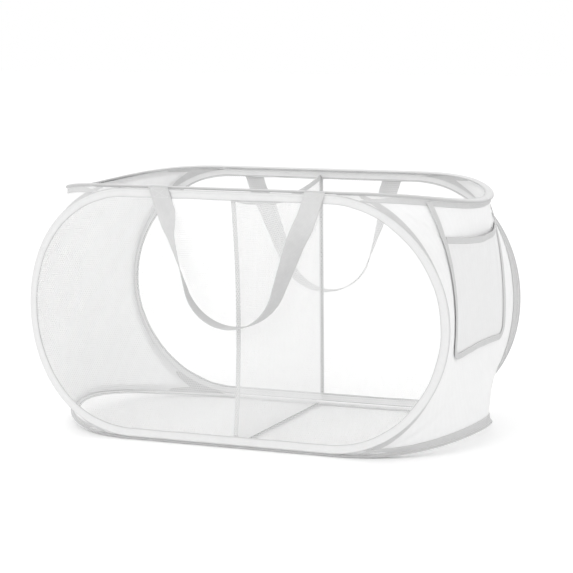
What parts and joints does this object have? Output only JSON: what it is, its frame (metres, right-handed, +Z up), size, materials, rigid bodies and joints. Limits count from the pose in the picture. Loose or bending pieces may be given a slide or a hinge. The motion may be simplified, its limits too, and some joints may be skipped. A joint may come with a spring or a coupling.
{
  "type": "pop up laundry hamper",
  "caption": "Fold-down mesh laundry hamper on sprung wire hoops, with a divider, an open top, an end pocket and webbing handles.",
  "frame": {"origin": "middle of the hamper's bounding box, on the surface that it stands on", "axes": "+X runs along the hamper to the end with the pocket, +Y from the front to the back, +Z up"},
  "size_m": [0.6736, 0.4292, 0.38],
  "materials": {
    "binding_tape": "grey folded polyester tape",
    "mesh": "white knitted polyester mesh",
    "end_cloth": "white woven polyester",
    "webbing": "light grey woven webbing",
    "spring_wire": "drawn spring steel"
  },
  "bodies": {
    "base": {"bottom_hoop_wire": "spring_wire", "bottom_hoop_ferrule": "spring_wire", "bottom_hoop_binding": "binding_tape", "bottom_mesh_panel": "mesh", "left_end_panel": "end_cloth", "right_end_panel": "end_cloth", "side_pocket_panel": "end_cloth", "side_pocket_hem": "binding_tape", "side_pocket_edge_tape": "binding_tape", "divider_panel": "mesh", "divider_top_tape": "binding_tape", "divider_bottom_tape": "binding_tape"},
    "front_frame": {"front_hoop_wire": "spring_wire", "front_hoop_ferrule": "spring_wire", "front_hoop_binding": "binding_tape", "front_mesh_panel": "mesh", "divider_front_tape": "binding_tape", "front_handle_left_tab": "webbing", "front_handle_right_tab": "webbing"},
    "back_frame": {"back_hoop_wire": "spring_wire", "back_hoop_ferrule": "spring_wire", "back_hoop_binding": "binding_tape", "back_mesh_panel": "mesh", "divider_back_tape": "binding_tape", "back_handle_left_tab": "webbing", "back_handle_right_tab": "webbing"},
    "top_frame": {"top_hoop_wire": "spring_wire", "top_hoop_ferrule": "spring_wire", "top_hoop_binding": "binding_tape"},
    "front_handle": {"front_handle_strap": "webbing"},
    "back_handle": {"back_handle_strap": "webbing"}
  },
  "joints": [
    {"name": "front_fold", "type": "hinge", "parent": "base", "child": "front_frame", "pos_m": [0, -0.17595, 0.00455], "axis": [-1, 0, 0], "range_deg": [-72, 72], "stiffness_Nm_per_rad": 8, "deforming": ["left_end_panel", "right_end_panel", "side_pocket_panel", "side_pocket_hem", "side_pocket_edge_tape", "divider_panel", "divider_top_tape"]},
    {"name": "back_fold", "type": "hinge", "parent": "base", "child": "back_frame", "pos_m": [0, 0.17595, 0.00455], "axis": [-1, 0, 0], "range_deg": [-72, 72]},
    {"name": "top_fold", "type": "hinge", "parent": "front_frame", "child": "top_frame", "pos_m": [0, -0.17595, 0.37545], "axis": [-1, 0, 0], "range_deg": [-72, 72]},
    {"name": "front_handle_swing", "type": "hinge", "parent": "front_frame", "child": "front_handle", "pos_m": [0, -0.18255, 0.35985], "axis": [-1, 0, 0], "range_deg": [0, 175]},
    {"name": "back_handle_swing", "type": "hinge", "parent": "back_frame", "child": "back_handle", "pos_m": [0, 0.18255, 0.35985], "axis": [1, 0, 0], "range_deg": [0, 175]}
  ],
  "couplings": [
    {"joint": "back_fold", "follows": "front_fold", "ratio": 1},
    {"joint": "top_fold", "follows": "front_fold", "ratio": -1}
  ]
}
